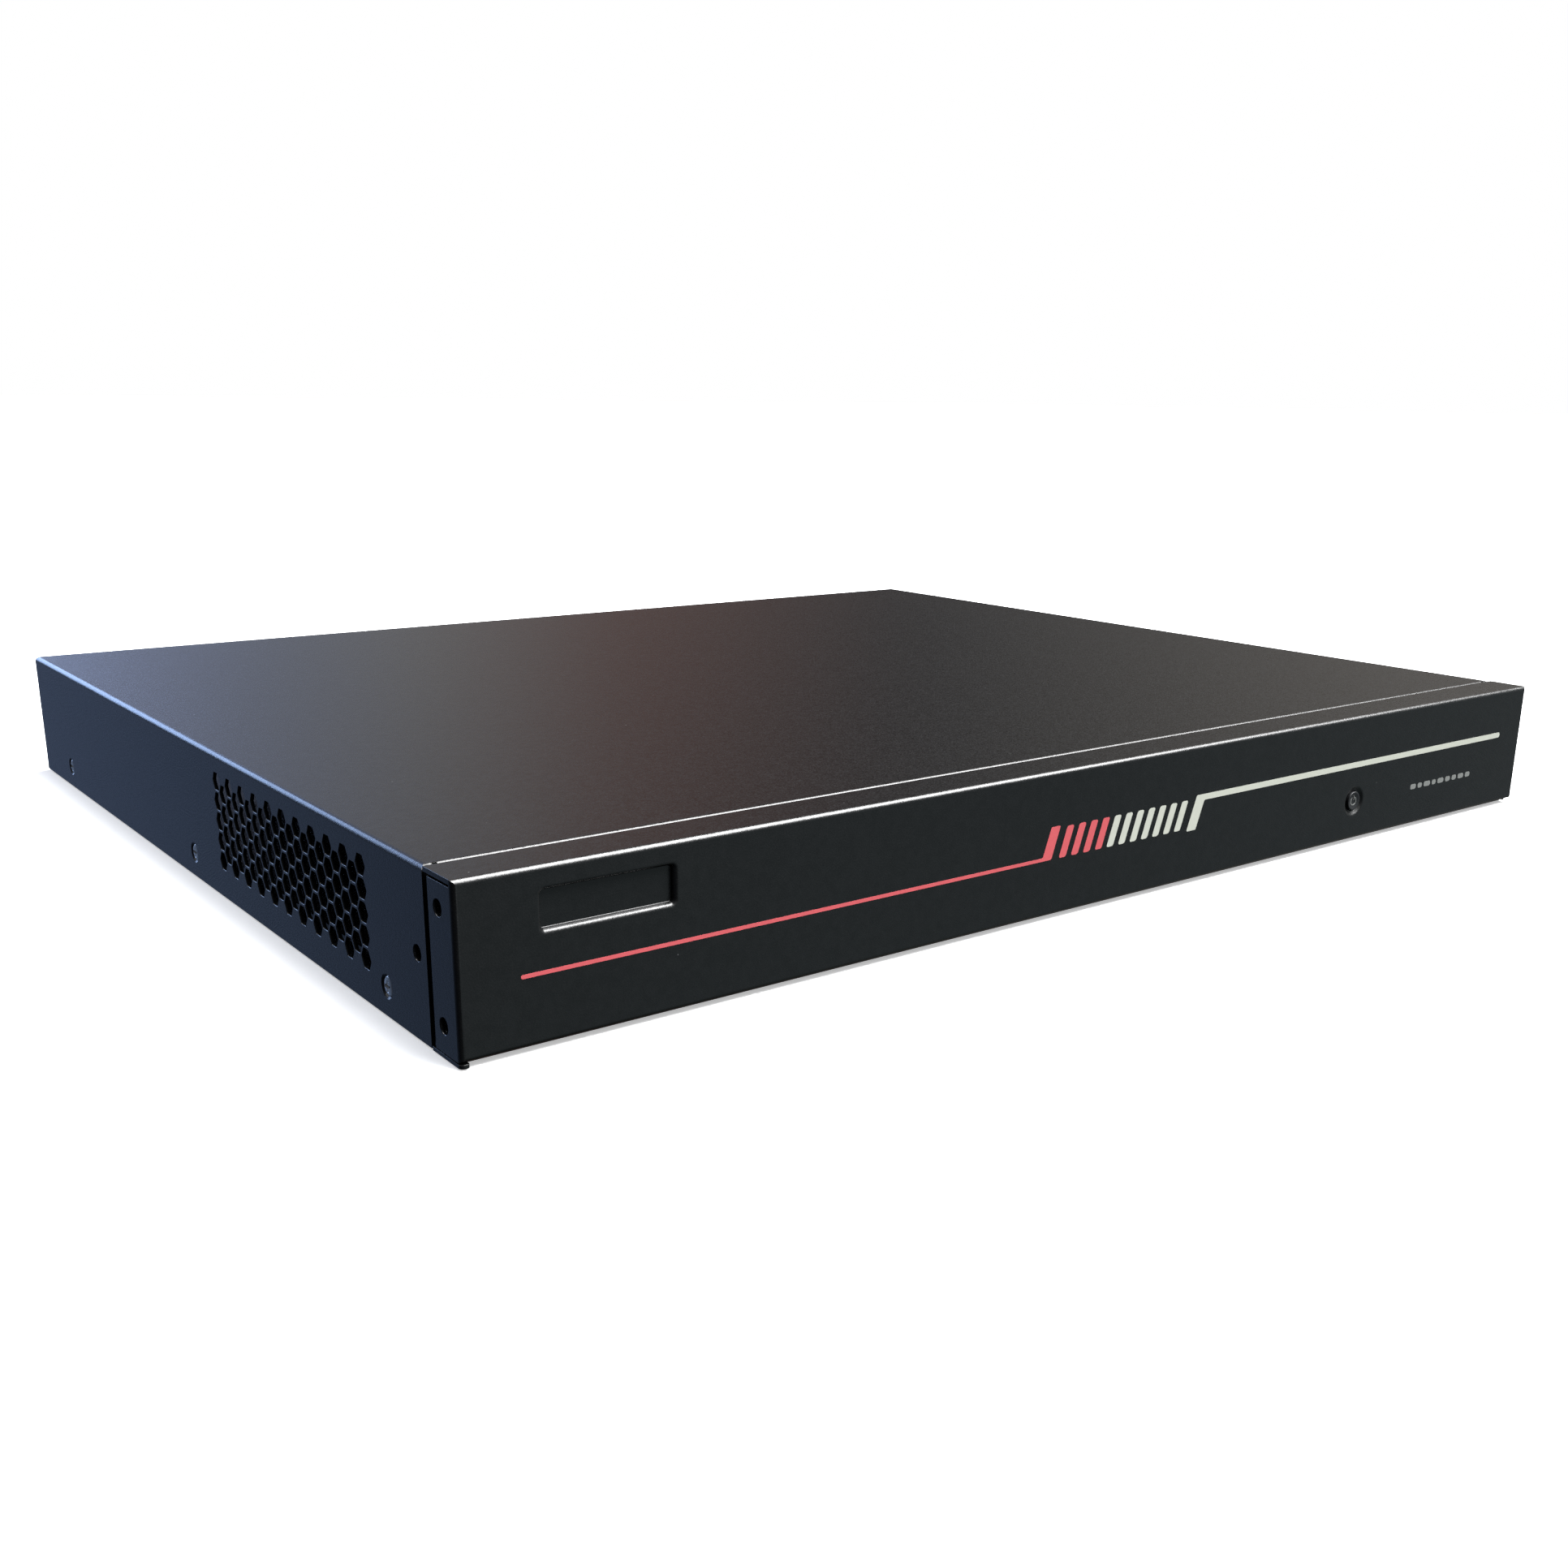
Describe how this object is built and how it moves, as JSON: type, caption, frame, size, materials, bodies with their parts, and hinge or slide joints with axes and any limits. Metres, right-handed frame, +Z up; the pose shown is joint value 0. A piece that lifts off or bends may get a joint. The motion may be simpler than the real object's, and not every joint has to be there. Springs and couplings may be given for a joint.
{
  "type": "rack firewall appliance",
  "caption": "Low, wide rack appliance in folded sheet steel: screwed cover with side vents, formed front with a push button, sockets, mains inlet and fans at the rear.",
  "frame": {"origin": "middle of the underside, on the plane that the base tray rests on", "axes": "+X to the right as seen from the front, +Y from the front panel to the rear, +Z up"},
  "size_m": [0.43, 0.36, 0.0436],
  "materials": {
    "casing": "fine-grained semi-matte black powder coat on folded sheet steel",
    "bright_zinc": "bright zinc plate",
    "port_shell": "plated socket shells",
    "brass": "plain brass",
    "aluminium": "extruded and milled aluminium",
    "black_plastic": "moulded black plastic with a slight sheen",
    "capacitor_sleeve": "glossy shrink sleeve",
    "circuit_board": "green solder resist",
    "chip_package": "moulded chip package",
    "transformer_tape": "yellow winding tape",
    "white_nylon": "natural nylon",
    "black_lead": "black cable jacket",
    "grey_lead": "grey cable jacket"
  },
  "bodies": {
    "chassis": {"base_tray": "casing", "board_power_lead": "black_lead", "board_support_1": "white_nylon", "board_support_2": "white_nylon", "board_support_3": "white_nylon", "board_support_4": "white_nylon", "button_board": "circuit_board", "button_bracket": "bright_zinc", "button_lead": "grey_lead", "button_switch": "black_plastic", "console_ports": "port_shell", "cover_screw_left_1": "bright_zinc", "cover_screw_left_2": "bright_zinc", "cover_screw_left_3": "bright_zinc", "cover_screw_right_1": "bright_zinc", "cover_screw_right_2": "bright_zinc", "cover_screw_right_3": "bright_zinc", "drive_bracket": "bright_zinc", "drive_lead": "grey_lead", "fan_frame_1": "black_plastic", "fan_frame_2": "black_plastic", "fan_lead_1": "black_lead", "fan_lead_2": "black_lead", "fan_screw_1_lower": "bright_zinc", "fan_screw_1_upper": "bright_zinc", "fan_screw_2_lower": "bright_zinc", "fan_screw_2_upper": "bright_zinc", "front_panel": "casing", "ground_screw": "brass", "inlet_pin_earth": "brass", "inlet_pin_line": "brass", "inlet_pin_neutral": "brass", "lan_ports": "port_shell", "main_board": "circuit_board", "mains_lead": "black_lead", "memory_module": "circuit_board", "memory_socket": "black_plastic", "power_inlet": "black_plastic", "power_switch_housing": "black_plastic", "processor": "chip_package", "processor_heat_sink": "aluminium", "rear_panel": "casing", "rear_screw_1": "bright_zinc", "rear_screw_2": "bright_zinc", "rear_screw_3": "bright_zinc", "sfp_cages": "port_shell", "storage_drive": "aluminium", "supply_board": "circuit_board", "supply_capacitor": "capacitor_sleeve", "supply_heat_sink": "aluminium", "supply_transformer": "transformer_tape", "switch_lead": "black_lead", "top_cover": "casing", "usb_ports": "port_shell"},
    "button": {"power_button": "black_plastic"},
    "plunger": {"switch_plunger": "aluminium"},
    "rocker": {"power_switch_rocker": "black_plastic"},
    "rotor_1": {"fan_rotor_1": "black_plastic"},
    "rotor_2": {"fan_rotor_2": "black_plastic"}
  },
  "joints": [
    {"name": "button_press", "type": "slide", "parent": "chassis", "child": "button", "axis": [0, 1, 0], "range_m": [0, 0.0012], "stiffness_N_per_m": 800, "springref_m": -0.0015},
    {"name": "plunger_press", "type": "slide", "parent": "chassis", "child": "plunger", "axis": [0, 1, 0], "range_m": [0, 0.0012]},
    {"name": "rocker_tilt", "type": "hinge", "parent": "chassis", "child": "rocker", "pos_m": [0.158, 0.1736, 0.021], "axis": [1, 0, 0], "range_deg": [-20, 0]},
    {"name": "rotor_1_spin", "type": "hinge", "parent": "chassis", "child": "rotor_1", "pos_m": [0.118, 0.1679, 0.0218], "axis": [0, 1, 0], "continuous": true},
    {"name": "rotor_2_spin", "type": "hinge", "parent": "chassis", "child": "rotor_2", "pos_m": [0.072, 0.1679, 0.0218], "axis": [0, 1, 0], "continuous": true}
  ],
  "couplings": [
    {"joint": "plunger_press", "follows": "button_press", "ratio": 1}
  ]
}
